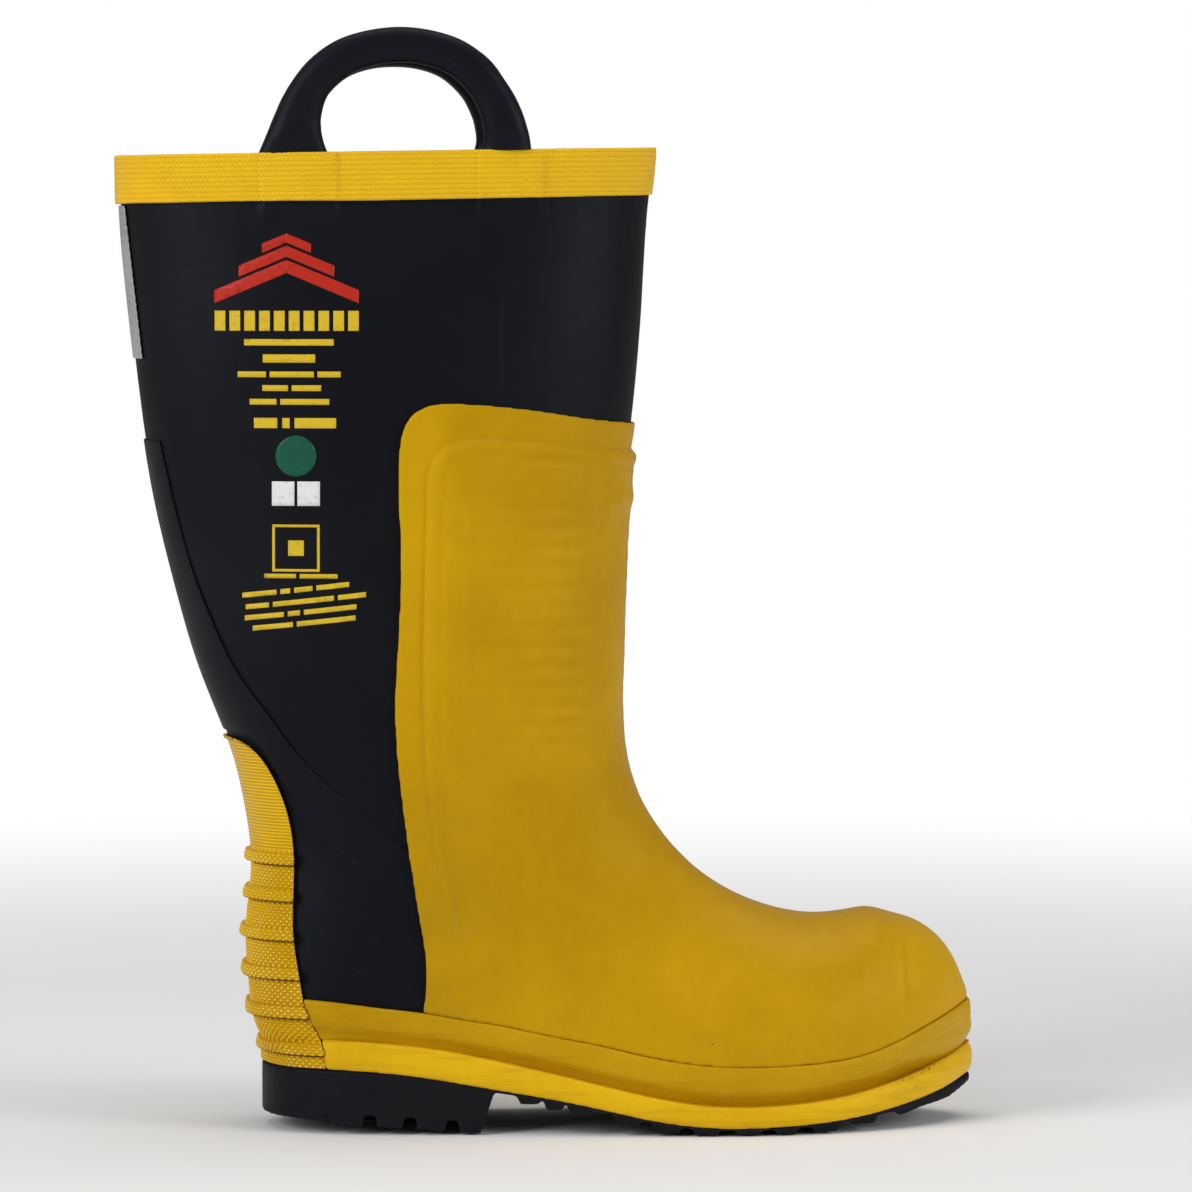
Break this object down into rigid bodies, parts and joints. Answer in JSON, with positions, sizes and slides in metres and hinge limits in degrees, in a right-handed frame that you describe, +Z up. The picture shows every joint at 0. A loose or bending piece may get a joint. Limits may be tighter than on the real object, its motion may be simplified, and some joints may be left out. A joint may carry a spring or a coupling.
{
  "type": "firefighter rubber boot",
  "caption": "Tall pull-on rubber firefighting boot for the right foot, with moulded pull handles, padded shin and toe overlay, ribbed heel guard and lugged sole.",
  "frame": {"origin": "middle of the flat heel tread, on the floor", "axes": "+X from heel to toe, +Y to the wearer's left (the inner side of this right boot), +Z up the leg"},
  "size_m": [0.3586, 0.1138, 0.4556],
  "materials": {
    "black_rubber": "satin",
    "yellow_rubber": "satin",
    "sole_rubber": "matte",
    "felt": "matte",
    "woven_lining": "matte",
    "stiffener": "matte",
    "soft_strip": "matte",
    "board": "matte",
    "filler": "matte",
    "foam": "matte",
    "reflective": "satin",
    "steel": "satin"
  },
  "bodies": {
    "boot": {"upper_rubber": "black_rubber", "felt_lining": "felt", "interlining": "woven_lining", "counter_stiffener": "stiffener", "steel_toe_cap": "steel", "toe_cap_edge_strip": "soft_strip", "insole_board": "board", "bottom_filler": "filler", "steel_midsole": "steel", "shank": "steel", "midsole_rubber": "black_rubber", "outsole": "sole_rubber", "heel_filler": "filler", "lower_foxing": "yellow_rubber", "upper_foxing": "yellow_rubber", "vamp_overlay": "yellow_rubber", "shin_pad": "foam", "heel_counter_guard": "yellow_rubber", "ankle_stay": "black_rubber", "reflective_strip": "reflective", "top_band": "yellow_rubber", "handle_foot_lateral_rear": "black_rubber", "handle_foot_lateral_front": "black_rubber", "handle_foot_medial_rear": "black_rubber", "handle_foot_medial_front": "black_rubber"},
    "handle_lateral": {"pull_handle_lateral": "black_rubber"},
    "handle_medial": {"pull_handle_medial": "black_rubber"},
    "footbed_body": {"footbed": "foam", "footbed_cover": "felt"}
  },
  "joints": [
    {"name": "handle_lateral_flex", "type": "hinge", "parent": "boot", "child": "handle_lateral", "pos_m": [-0.00009, -0.0475, 0.41131], "axis": [0.9999, 0, 0.0149], "range_deg": [-20, 60]},
    {"name": "handle_medial_flex", "type": "hinge", "parent": "boot", "child": "handle_medial", "pos_m": [-0.00009, 0.0475, 0.41131], "axis": [-0.9999, 0, -0.0149], "range_deg": [-20, 60]},
    {"name": "footbed_lift", "type": "hinge", "parent": "boot", "child": "footbed_body", "pos_m": [0.224, 0, 0.0331], "axis": [0, 1, 0], "range_deg": [0, 8]}
  ]
}
